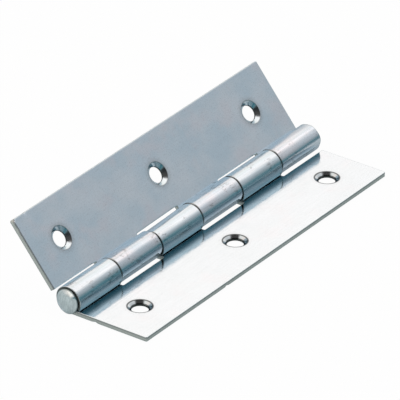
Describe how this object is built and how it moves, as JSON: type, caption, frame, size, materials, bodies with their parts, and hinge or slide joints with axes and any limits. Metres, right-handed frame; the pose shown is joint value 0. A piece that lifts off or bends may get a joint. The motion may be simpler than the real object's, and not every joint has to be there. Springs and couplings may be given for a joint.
{
  "type": "butt hinge",
  "caption": "Narrow rolled butt hinge in bright zinc-plated sheet steel: two alike leaves with countersunk screw holes, knuckles rolled round a fixed pin with a domed head.",
  "frame": {"origin": "centre of the middle screw hole of the leaf that lies flat, on that leaf's back face", "axes": "+X along the pin, away from its head; +Z along the flat leaf's screw holes, out of their countersunk side; the flat leaf's free edge is towards -Y"},
  "size_m": [0.1014, 0.0403, 0.0198],
  "materials": {
    "leaf_zinc": "bright zinc plate with a clear blue passivation over rolled sheet steel, faintly mottled",
    "pin_zinc": "bright zinc plate over drawn wire, slightly duller on the upset head"
  },
  "bodies": {
    "fixed": {"fixed_leaf": "leaf_zinc", "pin": "pin_zinc"},
    "swing": {"swing_leaf": "leaf_zinc"}
  },
  "joints": [
    {"name": "leaf_swing", "type": "hinge", "parent": "fixed", "child": "swing", "pos_m": [0, 0.01305, 0.00355], "axis": [-1, 0, 0], "range_deg": [-140, 144]}
  ]
}
